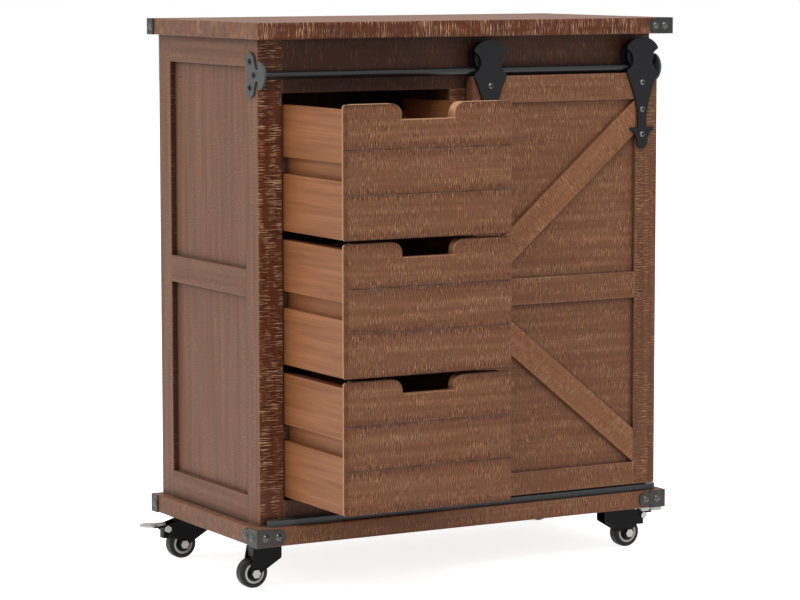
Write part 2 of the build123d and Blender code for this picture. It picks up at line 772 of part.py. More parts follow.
# Caster plates with their swivel races and kingpins, and the screws under them
with BuildPart() as caster_plates:
    with BuildSketch(Plane.XY.offset(caster_plate_low)):
        with Locations(*caster_points):
            Rectangle(caster_plate_size, caster_plate_size)
    extrude(amount=caster_plate_thickness)
    with BuildSketch(Plane.XY.offset(race_low)):
        with Locations(*caster_points):
            Circle(race_radius)
    extrude(amount=race_thickness, taper=race_taper)
    with BuildSketch(Plane.XY.offset(race_low)):
        with Locations(*caster_points):
            Circle(kingpin_radius)
    extrude(amount=kingpin_head_high - race_low)
    with BuildSketch(Plane.XY.offset(kingpin_head_high)):
        with Locations(*caster_points):
            Circle(kingpin_head_radius)
    extrude(amount=-kingpin_head_thickness)
save(caster_plates.part, "caster_plates")

with BuildPart() as caster_plate_screws:
    with Locations(*screw_planes):
        dome(caster_screw_radius, caster_screw_height)
save(caster_plate_screws.part, "caster_plate_screws")

# Casters: fork with its axle bolt, wheel, and a foot pedal on the braked ones
leg_inner = wheel_width / 2 + leg_wheel_gap
leg_outer = leg_inner + leg_thickness
skirt_low = crown_low - leg_skirt_height
pivot_z = wheel_radius + pedal_pivot_rise
for corner, (swivel_x, swivel_y, trail_sign, braked) in casters.items():
    wheel_x = swivel_x + trail_sign * caster_trail
    pivot_x = wheel_x + trail_sign * pedal_pivot_reach
    leg_back_x = swivel_x - trail_sign * leg_back_reach
    leg_front_x = swivel_x + trail_sign * leg_front_reach

    with BuildPart() as fork:
        with BuildSketch(Plane.XZ.offset(-swivel_y)) as fork_outline:
            with BuildLine():
                Polyline(
                    (leg_back_x, crown_high),
                    (leg_back_x, skirt_low),
                    (wheel_x - trail_sign * axle_boss_radius, wheel_radius),
                    (wheel_x + trail_sign * axle_boss_radius, wheel_radius),
                    (leg_front_x, crown_high),
                    close=True,
                )
            make_face()
            skirt_corner = fork_outline.vertices().sort_by_distance((leg_back_x, skirt_low, 0))[0]
            fillet(skirt_corner, leg_corner_round)
            with Locations((wheel_x, wheel_radius)):
                Circle(axle_boss_radius)
            if braked:
                with BuildLine():
                    Polyline(
                        (leg_front_x, crown_high),
                        (pivot_x, pivot_z + pedal_lug_radius),
                        (pivot_x, pivot_z - pedal_lug_radius),
                        (wheel_x, wheel_radius),
                        close=True,
                    )
                make_face()
                with Locations((pivot_x, pivot_z)):
                    Circle(pedal_lug_radius)
                    Circle(pedal_pin_radius, mode=Mode.SUBTRACT)
            with Locations((wheel_x, wheel_radius)):
                Circle(wheel_axle_radius, mode=Mode.SUBTRACT)
        extrude(amount=leg_outer, both=True)
        crown_span_x = sorted((leg_back_x, leg_front_x))
        wheel_room_x = sorted((leg_back_x - trail_sign * overrun, pivot_x + trail_sign * wheel_radius))
        wheel_room_y = (swivel_y - leg_inner, swivel_y + leg_inner)
        wheel_room_z = (-overrun, max(crown_low, pivot_z + pedal_lug_radius + overrun))
        block(wheel_room_x, wheel_room_y, wheel_room_z, mode=Mode.SUBTRACT)
        block(crown_span_x, (swivel_y - leg_outer, swivel_y + leg_outer), (crown_low, crown_high))
        hood_span_x = sorted((leg_front_x, leg_front_x - trail_sign * hood_thickness))
        block(hood_span_x, wheel_room_y, (2 * wheel_radius + hood_wheel_gap, crown_low))
        with BuildSketch(Plane.XY.offset(crown_low - overrun)):
            with Locations((swivel_x, swivel_y)):
                Circle(kingpin_radius + axle_clearance)
        extrude(amount=crown_thickness + 2 * overrun, mode=Mode.SUBTRACT)

    with BuildPart() as axle_bolt:
        with BuildSketch(Plane.XZ.offset(-swivel_y)):
            with Locations((wheel_x, wheel_radius)):
                Circle(wheel_axle_radius)
        extrude(amount=leg_outer, both=True)
        for sign in (-1, 1):
            with BuildSketch(Plane.XZ.offset(-swivel_y + sign * leg_outer)):
                with Locations((wheel_x, wheel_radius)):
                    RegularPolygon(axle_nut_radius, 6)
            extrude(amount=sign * axle_nut_height)
    fork_pieces = [fork.part, axle_bolt.part]

    if braked:
        with BuildPart() as pedal_pin:
            with BuildSketch(Plane.XZ.offset(-swivel_y)):
                with Locations((pivot_x, pivot_z)):
                    Circle(pedal_pin_radius)
            extrude(amount=leg_outer, both=True)
        fork_pieces.append(pedal_pin.part)
    save(Compound(children=fork_pieces), f"{corner}_fork")

    # Hub and tyre turn together
    rim_x = wheel_x + rim_radius
    wheel_front = swivel_y - wheel_width / 2
    wheel_back = swivel_y + wheel_width / 2
    wheel_axis = Axis((wheel_x, 0, wheel_radius), (0, 1, 0))
    with BuildPart() as hub:
        with BuildSketch(Plane.XY.offset(wheel_radius)):
            with BuildLine():
                Polyline(
                    (wheel_x + wheel_axle_radius + axle_clearance, wheel_front + rim_dish),
                    (wheel_x + rim_inner_radius, wheel_front + rim_dish),
                    (wheel_x + rim_inner_radius, wheel_front),
                    (rim_x, wheel_front),
                    (rim_x, wheel_back),
                    (wheel_x + rim_inner_radius, wheel_back),
                    (wheel_x + rim_inner_radius, wheel_back - rim_dish),
                    (wheel_x + wheel_axle_radius + axle_clearance, wheel_back - rim_dish),
                    close=True,
                )
            make_face()
        revolve(axis=wheel_axis)
    with BuildPart() as tyre:
        with BuildSketch(Plane.XY.offset(wheel_radius)) as tyre_section:
            with Locations(((rim_x + wheel_x + wheel_radius) / 2, swivel_y)):
                Rectangle(wheel_radius - rim_radius, wheel_width)
            fillet(tyre_section.vertices().group_by(Axis.X)[-1], wheel_edge_round)
        revolve(axis=wheel_axis)
    save(Compound(children=[hub.part, tyre.part]), f"{corner}_wheel")

    if braked:
        barrel_half = leg_inner - pedal_side_gap
        arm_half = pedal_arm_width / 2
        arm_span_x = sorted((pivot_x, pivot_x + trail_sign * pedal_arm_length))
        pad_low = pivot_z + pedal_pad_rise
        pad_x = pivot_x + trail_sign * (pedal_pad_reach + pedal_pad_length / 2)
        with BuildPart() as pedal:
            with BuildSketch(Plane.XZ.offset(-swivel_y)):
                with Locations((pivot_x, pivot_z)):
                    Circle(pedal_barrel_radius)
            extrude(amount=barrel_half, both=True)
            arm_span_y = (swivel_y - arm_half, swivel_y + arm_half)
            shoe_span_x = (pivot_x - pedal_shoe_width / 2, pivot_x + pedal_shoe_width / 2)
            block(shoe_span_x, arm_span_y, (pivot_z - pedal_shoe_drop, pivot_z))
            block(arm_span_x, arm_span_y, (pad_low - pedal_arm_thickness, pad_low + pedal_pad_thickness))
            with BuildSketch(Plane.XY.offset(pad_low)):
                with Locations((pad_x, swivel_y)):
                    Ellipse(pedal_pad_length / 2, pedal_pad_width / 2)
            extrude(amount=pedal_pad_thickness)
            with BuildSketch(Plane.XZ.offset(-swivel_y)):
                with Locations((pivot_x, pivot_z)):
                    Circle(pedal_pin_radius + axle_clearance)
            extrude(amount=leg_outer, both=True, mode=Mode.SUBTRACT)
        save(pedal.part, f"{corner}_pedal")
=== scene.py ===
import bpy
import math
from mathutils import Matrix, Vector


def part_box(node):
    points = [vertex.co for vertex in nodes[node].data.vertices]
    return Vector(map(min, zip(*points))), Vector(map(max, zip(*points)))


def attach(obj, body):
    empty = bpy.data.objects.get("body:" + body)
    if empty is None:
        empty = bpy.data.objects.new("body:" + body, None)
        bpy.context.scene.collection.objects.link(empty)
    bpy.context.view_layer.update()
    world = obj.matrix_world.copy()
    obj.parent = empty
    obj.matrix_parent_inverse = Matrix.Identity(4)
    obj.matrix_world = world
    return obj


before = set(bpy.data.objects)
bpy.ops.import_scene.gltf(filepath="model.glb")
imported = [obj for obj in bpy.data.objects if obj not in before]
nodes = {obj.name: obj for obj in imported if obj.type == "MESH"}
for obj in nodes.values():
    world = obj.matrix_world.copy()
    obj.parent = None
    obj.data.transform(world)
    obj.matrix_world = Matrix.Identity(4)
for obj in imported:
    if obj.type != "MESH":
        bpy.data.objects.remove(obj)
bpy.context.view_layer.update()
print("frame loaded:", len(nodes), "nodes")

mm = 0.001  # the pieces' and finishes' lengths are in mm, the studio's in metres
edgeSamples = 6  # rays for soft edges and dark corners


def tone(hexText):  # sRGB hex to linear
    channels = [int(hexText[i:i + 2], 16) / 255 for i in (1, 3, 5)]
    return [c / 12.92 if c <= 0.04045 else ((c + 0.055) / 1.055) ** 2.4 for c in channels] + [1.0]


def addNode(tree, kind, inputs=None, **settings):  # one node, with a value or a link for each input
    node = tree.nodes.new(kind)
    for key, value in settings.items():
        setattr(node, key, value)
    for key, value in (inputs or {}).items():
        if isinstance(value, bpy.types.NodeSocket):
            tree.links.new(value, node.inputs[key])
        else:
            node.inputs[key].default_value = value
    return node


def startMaterial(name, sockets):  # a Principled material with its plain sockets set
    material = bpy.data.materials.new(name)
    material.use_nodes = True
    tree = material.node_tree
    shader = tree.nodes["Principled BSDF"]
    for key, value in sockets.items():
        shader.inputs[key].default_value = value
    coord = addNode(tree, "ShaderNodeTexCoord")
    return material, tree, shader, coord


def dress(material, names):
    for name in names:
        for materialSlot in nodes[name].material_slots:
            materialSlot.material = material


def cells(along, across):  # pattern cells per metre, from cell sizes in mm
    return (1 / (along * mm), 1 / (across * mm), 1 / (across * mm))


# Boards run along X, Y, Z or a brace: the turn brings the board's length to local X
turns = {
    "x": (0, 0, 0),
    "y": (0, 0, -math.pi / 2),
    "z": (0, math.pi / 2, 0),
    "highBrace": (0, math.radians(40.5), 0),
    "lowBrace": (0, math.radians(-39.2), 0),
}
low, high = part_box("door_braces")
braceSplit = (low[2] + high[2]) / 2  # one brace is above this height, the other below

# Stained fir, rough sawn: rows of short saw lines across the board, pale where they stand proud and
# reddish dark between, broken by patches, with pale rubbed arrises and painted shade darkening the corners.
# The lines are drawn coarser than the saw's own, so that they show in the render.
sawn = {
    "sockets": {"IOR": 1.5, "Specular IOR Level": 0.25},
    "combCell": (3.0, 8),  # mm along and across the board
    "streakCell": (1.6, 9),
    "grainCell": (240, 8),
    "patchCell": (30, 14),
    "tintCell": (60, 26),
    "details": {"streakCell": 3, "grainCell": 4, "patchCell": 2, "tintCell": 2},
    "noise": {"Scale": 1.0, "Roughness": 0.55},
    "combTurn": 0.314,  # wave scale that gives one line to a cell
    "comb": {"Distortion": 8.0, "Detail": 2.0, "Detail Scale": 1.7, "Detail Roughness": 0.6},
    "combShare": 0.4,
    "streakSpan": {"From Min": 0.3, "From Max": 0.7},
    "patchSpan": {"From Min": 0.36, "From Max": 0.64, "To Min": 0.15},
    "frontSpan": {"From Min": 0.55, "From Max": 0.8},  # how squarely a face looks forward
    "tintSpan": {"From Min": 0.35, "From Max": 0.65},
    "tints": ("#fff0e8", "#f8f5ea"),
    "cornerShadeReach": 14,
    "cornerShadeSpan": {"From Min": 0.85, "From Max": 0.35, "To Max": 0.8},
    # the painted shade of the corners, and the dark joints of the drawer fronts
    "corner": "#26130a",
    "bevelRadius": 2.0,
    "edgeSpan": {"From Min": 0.985, "From Max": 0.84},
    "rubSpan": {"From Min": 0.36, "From Max": 0.54},
    "rubFloor": 0.3,
    "rubbed": "#bd967a",
    "glossSpan": {"From Min": 0.3, "From Max": 0.7, "To Min": 0.5, "To Max": 0.68},
    "bump": {"Strength": 0.4, "Distance": 0.4 * mm},
}


def sawPatterns(tree, spot, place, run, stroke):  # noise along the board, and the saw lines made from it
    if run == "braces":
        high = addNode(tree, "ShaderNodeMapping", {"Vector": spot, "Rotation": turns["highBrace"]})
        low = addNode(tree, "ShaderNodeMapping", {"Vector": spot, "Rotation": turns["lowBrace"]})
        isLow = addNode(tree, "ShaderNodeMath", {0: place[2], 1: braceSplit}, operation="LESS_THAN")
        either = {0: isLow.outputs[0], 4: high.outputs[0], 5: low.outputs[0]}
        turned = addNode(tree, "ShaderNodeMix", either, data_type="VECTOR").outputs[1]
    else:
        turned = addNode(tree, "ShaderNodeMapping", {"Vector": spot, "Rotation": turns[run]}).outputs[0]
    noise = {}
    for key, detail in sawn["details"].items():
        along, across = sawn[key]
        stretch = stroke if key == "streakCell" else 1.0
        stretched = {"Vector": turned, "Scale": cells(along, across * stretch)}
        spread = addNode(tree, "ShaderNodeMapping", stretched)
        figure = {"Vector": spread.outputs[0], "Detail": detail, **sawn["noise"]}
        noise[key] = addNode(tree, "ShaderNodeTexNoise", figure).outputs["Fac"]
    along, across = sawn["combCell"]
    stretched = {"Vector": turned, "Scale": cells(along, across * stroke)}
    spread = addNode(tree, "ShaderNodeMapping", stretched)
    wave = {"Vector": spread.outputs[0], "Scale": sawn["combTurn"], **sawn["comb"]}
    comb = addNode(tree, "ShaderNodeTexWave", wave).outputs["Fac"]

    # Saw lines: an uneven comb and random streaks, strong in patches
    share = sawn["combShare"]
    evened = {"Value": noise["streakCell"], **sawn["streakSpan"], "To Max": 1 - share}
    streak = addNode(tree, "ShaderNodeMapRange", evened).outputs[0]
    mixed = {0: comb, 1: share, 2: streak}
    lines = addNode(tree, "ShaderNodeMath", mixed, operation="MULTIPLY_ADD").outputs[0]
    patches = {"Value": noise["patchCell"], **sawn["patchSpan"]}
    patch = addNode(tree, "ShaderNodeMapRange", patches).outputs[0]
    centred = addNode(tree, "ShaderNodeMath", {0: lines, 1: 0.5}, operation="SUBTRACT").outputs[0]
    rough = addNode(tree, "ShaderNodeMath", {0: centred, 1: patch}, operation="MULTIPLY").outputs[0]
    grain = addNode(tree, "ShaderNodeMath", {0: noise["grainCell"], 1: 0.5}, operation="SUBTRACT").outputs[0]
    return {**noise, "lines": lines, "patch": patch, "rough": rough, "grain": grain}


def plankJoints(tree, place, lines, drawer):  # how far a joint is, and the saw teeth that stand beside it
    above = {0: place[2], 1: drawer["low"]}
    height = addNode(tree, "ShaderNodeMath", above, operation="SUBTRACT").outputs[0]
    half = {0: height, 1: drawer["pitch"] / 2}
    joint = addNode(tree, "ShaderNodeMath", half, operation="PINGPONG").outputs[0]
    beside = {"Value": joint, "From Min": drawer["jointReach"] * mm, "From Max": 0.0}
    near = addNode(tree, "ShaderNodeMapRange", beside).outputs[0]
    cut = addNode(tree, "ShaderNodeMapRange", {"Value": lines, **drawer["teethSpan"]}).outputs[0]
    teeth = addNode(tree, "ShaderNodeMath", {0: near, 1: cut}, operation="MULTIPLY").outputs[0]
    return {"joint": joint, "teeth": teeth}


def stainTones(tree, saw, tones, drawer=None):  # saw lines and grain on one set of tones
    cut = {0: saw["rough"], 1: tones["lines"], 2: tones["level"]}
    figure = addNode(tree, "ShaderNodeMath", cut, operation="MULTIPLY_ADD").outputs[0]
    bands = {0: saw["grain"], 1: tones["grain"], 2: figure}
    figure = addNode(tree, "ShaderNodeMath", bands, operation="MULTIPLY_ADD").outputs[0]
    if drawer:  # darker teeth beside the joints of the planks
        deeper = {0: saw["teeth"], 1: -drawer["jointDepth"], 2: figure}
        figure = addNode(tree, "ShaderNodeMath", deeper, operation="MULTIPLY_ADD").outputs[0]
    ramp = addNode(tree, "ShaderNodeValToRGB", {0: figure})
    stops = ramp.color_ramp.elements
    stops.new(0.5)
    for stop, position, key in zip(stops, (0.0, 0.5, 1.0), ("dark", "mid", "light")):
        stop.position = position
        stop.color = tone(tones[key])
    return ramp.outputs["Color"]


def frontFaces(tree, normal, place, drawer):  # 1 on faces that look to the front or the back
    towards = addNode(tree, "ShaderNodeSeparateXYZ", {0: normal})
    facing = addNode(tree, "ShaderNodeMath", {0: towards.outputs[1]}, operation="ABSOLUTE").outputs[0]
    onFront = addNode(tree, "ShaderNodeMapRange", {"Value": facing, **sawn["frontSpan"]}).outputs[0]
    if drawer:  # the walls of the plank grooves keep the front's stain
        depth = {0: place[1], 1: drawer["face"] + drawer["grooveDepth"] * mm}
        atFace = addNode(tree, "ShaderNodeMath", depth, operation="LESS_THAN")
        either = {0: onFront, 1: atFace.outputs[0]}
        onFront = addNode(tree, "ShaderNodeMath", either, operation="MAXIMUM").outputs[0]
    return onFront


def drawerDarkening(tree, colour, saw, place, onFront, drawer):  # darker at the left-hand edge and the joints
    stripEnd = drawer["left"] + drawer["stripWidth"] * mm
    stripFull = stripEnd - drawer["stripFade"] * mm
    fade = {
        "Value": place[0], "From Min": stripEnd, "From Max": stripFull,
        "To Max": drawer["stripStrength"],
    }
    strip = addNode(tree, "ShaderNodeMapRange", fade).outputs[0]
    ahead = addNode(tree, "ShaderNodeMath", {0: strip, 1: onFront}, operation="MULTIPLY").outputs[0]
    broken = addNode(tree, "ShaderNodeMath", {0: ahead, 1: saw["patch"]}, operation="MULTIPLY").outputs[0]
    darkened = {0: broken, 6: colour, 7: tone(drawer["stripTone"])}
    colour = addNode(tree, "ShaderNodeMix", darkened, data_type="RGBA").outputs[2]
    settled = {
        "Value": saw["joint"], "From Min": drawer["seamReach"] * mm, "From Max": 0.0,
        "To Max": drawer["seamStrength"],
    }
    seam = addNode(tree, "ShaderNodeMapRange", settled).outputs[0]
    ahead = addNode(tree, "ShaderNodeMath", {0: seam, 1: onFront}, operation="MULTIPLY").outputs[0]
    darkened = {0: ahead, 6: colour, 7: tone(sawn["corner"])}
    return addNode(tree, "ShaderNodeMix", darkened, data_type="RGBA").outputs[2]


def cornerShadeAndWornEdges(tree, colour, patches, wear):  # painted shade darkening the corners, then arrises rubbed pale
    # Painted shade: corners and recesses, where other faces come close, are darkened towards the corner tone
    reach = {"Distance": sawn["cornerShadeReach"] * mm}
    hidden = addNode(tree, "ShaderNodeAmbientOcclusion", reach, samples=edgeSamples).outputs["AO"]
    paintedCornerShade = addNode(tree, "ShaderNodeMapRange", {"Value": hidden, **sawn["cornerShadeSpan"]})
    shaded = {0: paintedCornerShade.outputs[0], 6: colour, 7: tone(sawn["corner"])}
    colour = addNode(tree, "ShaderNodeMix", shaded, data_type="RGBA").outputs[2]
    soft = addNode(tree, "ShaderNodeBevel", {"Radius": sawn["bevelRadius"] * mm}, samples=edgeSamples)
    plain = addNode(tree, "ShaderNodeNewGeometry")
    normals = {0: soft.outputs["Normal"], 1: plain.outputs["Normal"]}
    meet = addNode(tree, "ShaderNodeVectorMath", normals, operation="DOT_PRODUCT").outputs["Value"]
    edge = addNode(tree, "ShaderNodeMapRange", {"Value": meet, **sawn["edgeSpan"]}).outputs[0]
    least = sawn["rubFloor"] * wear
    rubs = {"Value": patches, **sawn["rubSpan"], "To Min": least, "To Max": wear}
    rub = addNode(tree, "ShaderNodeMapRange", rubs).outputs[0]
    worn = addNode(tree, "ShaderNodeMath", {0: edge, 1: rub}, operation="MULTIPLY").outputs[0]
    pale = {0: worn, 6: colour, 7: tone(sawn["rubbed"])}
    return addNode(tree, "ShaderNodeMix", pale, data_type="RGBA").outputs[2]


def sawnFir(name, run, face, side, wear, drawer=None):
    material, tree, shader, coord = startMaterial(name, sawn["sockets"])
    spot = coord.outputs["Object"]
    place = addNode(tree, "ShaderNodeSeparateXYZ", {0: spot}).outputs
    saw = sawPatterns(tree, spot, place, run, face["stroke"])
    if drawer:
        saw.update(plankJoints(tree, place, saw["lines"], drawer))
    colour = stainTones(tree, saw, face, drawer)
    if side:  # the board's other faces carry another stain
        onFront = frontFaces(tree, coord.outputs["Normal"], place, drawer)
        sides = {0: onFront, 6: stainTones(tree, saw, side), 7: colour}
        colour = addNode(tree, "ShaderNodeMix", sides, data_type="RGBA").outputs[2]
    shift = addNode(tree, "ShaderNodeMapRange", {"Value": saw["tintCell"], **sawn["tintSpan"]})
    warm, cool = (tone(tint) for tint in sawn["tints"])
    tint = addNode(tree, "ShaderNodeMix", {0: shift.outputs[0], 6: warm, 7: cool}, data_type="RGBA")
    tinted = {0: 1.0, 6: colour, 7: tint.outputs[2]}
    colour = addNode(tree, "ShaderNodeMix", tinted, data_type="RGBA", blend_type="MULTIPLY").outputs[2]
    if drawer:
        colour = drawerDarkening(tree, colour, saw, place, onFront, drawer)
    colour = cornerShadeAndWornEdges(tree, colour, saw["patchCell"], wear)
    gloss = addNode(tree, "ShaderNodeMapRange", {"Value": saw["lines"], **sawn["glossSpan"]})
    bump = addNode(tree, "ShaderNodeBump", {"Height": saw["lines"], **sawn["bump"]})
    tree.links.new(colour, shader.inputs["Base Color"])
    tree.links.new(gloss.outputs[0], shader.inputs["Roughness"])
    tree.links.new(bump.outputs["Normal"], shader.inputs["Normal"])
    return material


# Tones of the stain, how strong its lines and grain are, and how long the strokes are
strongTones = {
    "dark": "#3a180a", "mid": "#5c2f16", "light": "#b8957a",
    "lines": 1.9, "level": 0.42, "grain": 0.4, "stroke": 1.8,
}
# Painted shade: darker tones for the rails under the top and the drawers, and the back posts' front faces
paintedShadeTones = {
    "dark": "#2c160c", "mid": "#47291a", "light": "#83604a",
    "lines": 1.3, "level": 0.42, "grain": 0.4, "stroke": 1.5,
}
frontTones = {
    "dark": "#4f2b1a", "mid": "#734d36", "light": "#a88264",
    "lines": 1.2, "level": 0.49, "grain": 0.6, "stroke": 1.0,
}
stileTones = {**frontTones, "mid": "#64402a"}
braceTones = {
    "dark": "#5f3722", "mid": "#82583d", "light": "#b58a6c",
    "lines": 1.2, "level": 0.49, "grain": 0.5, "stroke": 1.0,
}
calmTones = {
    "dark": "#5a3a28", "mid": "#775543", "light": "#987660",
    "lines": 1.1, "level": 0.48, "grain": 0.9, "stroke": 0.7,
}
paleTones = {  # a drawer front's other faces, which take the strokes of its face
    "dark": "#97704f", "mid": "#b58d6b", "light": "#cba587",
    "lines": 0.8, "level": 0.5, "grain": 0.5,
}
# Each board's run, the tones of its face and of its other faces, its wear, and its nodes
boards = {
    "strongFirX": ("x", strongTones, calmTones, 0.7, ["top_board"]),
    "strongFirZ": ("z", strongTones, calmTones, 0.6, ["front_left_post", "front_right_post", "centre_posts"]),
    # painted shade on the rails under the top and the drawers, and on the back posts' front faces
    "shadedFirX": ("x", paintedShadeTones, paintedShadeTones, 0.4, ["front_top_rail", "front_bottom_rail"]),
    "shadedFirZ": ("z", paintedShadeTones, calmTones, 0.3, ["back_left_post", "back_right_post"]),
    "stainedFirX": ("x", frontTones, calmTones, 0.8, ["base_board", "door_rails"]),
    "stainedFirZ": ("z", stileTones, calmTones, 0.5, ["door_left_stile", "door_right_stile"]),
    "doorPanelFir": ("x", frontTones, None, 0.2, ["door_panels"]),
    "calmFirZ": ("z", calmTones, None, 0.3, ["side_panels", "divider_panel"]),
    "calmFirY": ("y", calmTones, None, 0.4, ["side_rails", "shelf_cleats", "drawer_runners"]),
    "calmFirX": ("x", calmTones, None, 0.3, ["back_rails", "back_panel", "shelf"]),
    "braceFir": ("braces", braceTones, None, 0.6, ["door_braces"]),
}
for name, (run, face, side, wear, names) in boards.items():
    dress(sawnFir(name, run, face, side, wear), names)

drawerNames = ("bottom", "middle", "top")
drawerFront = {
    "planks": 3, "wear": 0.45, "grooveDepth": 1.3,
    "jointReach": 13, "jointDepth": 0.5, "teethSpan": {"From Min": 0.75, "From Max": 0.3},
    "seamReach": 2.2, "seamStrength": 0.75,
    "stripWidth": 8.0, "stripFade": 3.0, "stripStrength": 1.3, "stripTone": "#5e3316",
}
for name in drawerNames:
    low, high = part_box(f"{name}_drawer_front")
    pitch = (high[2] - low[2]) / drawerFront["planks"]
    drawer = {**drawerFront, "left": low[0], "face": low[1], "low": low[2], "pitch": pitch}
    material = sawnFir(f"{name}DrawerFir", "x", frontTones, paleTones, drawer["wear"], drawer)
    dress(material, [f"{name}_drawer_front"])
print("stained boards dressed")

# Planed fir, clear coated: orange tan with long soft grain, and painted shade darker towards the carcass
planed = {
    "sockets": {"IOR": 1.5, "Roughness": 0.5, "Specular IOR Level": 0.25},
    "grainCell": (170, 4.0), "bandCell": (260, 16),  # mm along and across the board
    "noise": {"Scale": 1.0, "Detail": 3.0, "Roughness": 0.55},
    "figureSpan": {"From Min": 0.6, "From Max": 1.4},
    "pale": "#a97049", "deep": "#764523", "shade": "#6b3c20",
    "shadeReach": 110, "shadeSamples": 8,
    "shadeSpan": {"From Min": 0.85, "From Max": 0.35, "To Max": 0.6},
    "bump": {"Strength": 0.15, "Distance": 0.2 * mm},
}


def planedFir(name, run):
    material, tree, shader, coord = startMaterial(name, planed["sockets"])
    turned = addNode(tree, "ShaderNodeMapping", {"Vector": coord.outputs["Object"], "Rotation": turns[run]})
    noise = {}
    for key in ("grainCell", "bandCell"):
        stretched = {"Vector": turned.outputs[0], "Scale": cells(*planed[key])}
        spread = addNode(tree, "ShaderNodeMapping", stretched)
        figure = {"Vector": spread.outputs[0], **planed["noise"]}
        noise[key] = addNode(tree, "ShaderNodeTexNoise", figure).outputs["Fac"]
    added = addNode(tree, "ShaderNodeMath", {0: noise["grainCell"], 1: noise["bandCell"]}, operation="ADD")
    figure = addNode(tree, "ShaderNodeMapRange", {"Value": added.outputs[0], **planed["figureSpan"]})
    tones = {0: figure.outputs[0], 6: tone(planed["deep"]), 7: tone(planed["pale"])}
    colour = addNode(tree, "ShaderNodeMix", tones, data_type="RGBA").outputs[2]
    # Painted shade: darker where other parts come close, as towards the carcass
    reach = {"Distance": planed["shadeReach"] * mm}
    hidden = addNode(tree, "ShaderNodeAmbientOcclusion", reach, samples=planed["shadeSamples"]).outputs["AO"]
    inside = addNode(tree, "ShaderNodeMapRange", {"Value": hidden, **planed["shadeSpan"]})
    shaded = {0: inside.outputs[0], 6: colour, 7: tone(planed["shade"])}
    colour = addNode(tree, "ShaderNodeMix", shaded, data_type="RGBA").outputs[2]
    bump = addNode(tree, "ShaderNodeBump", {"Height": noise["grainCell"], **planed["bump"]})
    tree.links.new(colour, shader.inputs["Base Color"])
    tree.links.new(bump.outputs["Normal"], shader.inputs["Normal"])
    return material


dress(planedFir("planedFirY", "y"), [f"{name}_drawer_sides" for name in drawerNames])
boxEnds = [f"{name}_drawer_{piece}" for name in drawerNames for piece in ("back", "bottom")]
dress(planedFir("planedFirX", "x"), boxEnds)
print("drawer boxes dressed")

# What the coats and metals share: a fine speckle that mottles the colour, the gloss and the surface
speckled = {
    "noise": {"Scale": 1.0, "Detail": 3.0, "Roughness": 0.55},
    "mottleSpan": {"From Min": 0.35, "From Max": 0.65},
    "socketShadeSpan": {"From Min": -0.86, "From Max": -0.93},  # how squarely a domed head looks forward, where its socket's painted shade goes
    "peelDepth": 0.15,
}


def metal(name, look):
    material, tree, shader, coord = startMaterial(name, look["sockets"])
    spread = {"Vector": coord.outputs["Object"], "Scale": cells(look["cell"], look["cell"])}
    fine = addNode(tree, "ShaderNodeMapping", spread)
    figure = {"Vector": fine.outputs[0], **speckled["noise"]}
    speckle = addNode(tree, "ShaderNodeTexNoise", figure).outputs["Fac"]
    mottle = addNode(tree, "ShaderNodeMapRange", {"Value": speckle, **speckled["mottleSpan"]})
    tones = {0: mottle.outputs[0], 6: tone(look["low"]), 7: tone(look["high"])}
    colour = addNode(tree, "ShaderNodeMix", tones, data_type="RGBA").outputs[2]
    if "centre" in look:  # painted shade: a dark socket in the middle of each domed head
        normal = addNode(tree, "ShaderNodeSeparateXYZ", {0: coord.outputs["Normal"]})
        flat = addNode(tree, "ShaderNodeMapRange", {"Value": normal.outputs[1], **speckled["socketShadeSpan"]})
        paintedSocketShade = {0: flat.outputs[0], 6: colour, 7: tone(look["centre"])}
        colour = addNode(tree, "ShaderNodeMix", paintedSocketShade, data_type="RGBA").outputs[2]
    smooth, coarse = look["rough"]
    gloss = addNode(tree, "ShaderNodeMapRange", {"Value": speckle, "To Min": smooth, "To Max": coarse})
    soft = addNode(tree, "ShaderNodeBevel", {"Radius": look["arris"] * mm}, samples=edgeSamples)
    peel = {
        "Height": speckle, "Strength": look["bump"], "Distance": speckled["peelDepth"] * mm,
        "Normal": soft.outputs["Normal"],
    }
    bump = addNode(tree, "ShaderNodeBump", peel)
    tree.links.new(colour, shader.inputs["Base Color"])
    tree.links.new(gloss.outputs[0], shader.inputs["Roughness"])
    tree.links.new(bump.outputs["Normal"], shader.inputs["Normal"])
    return material


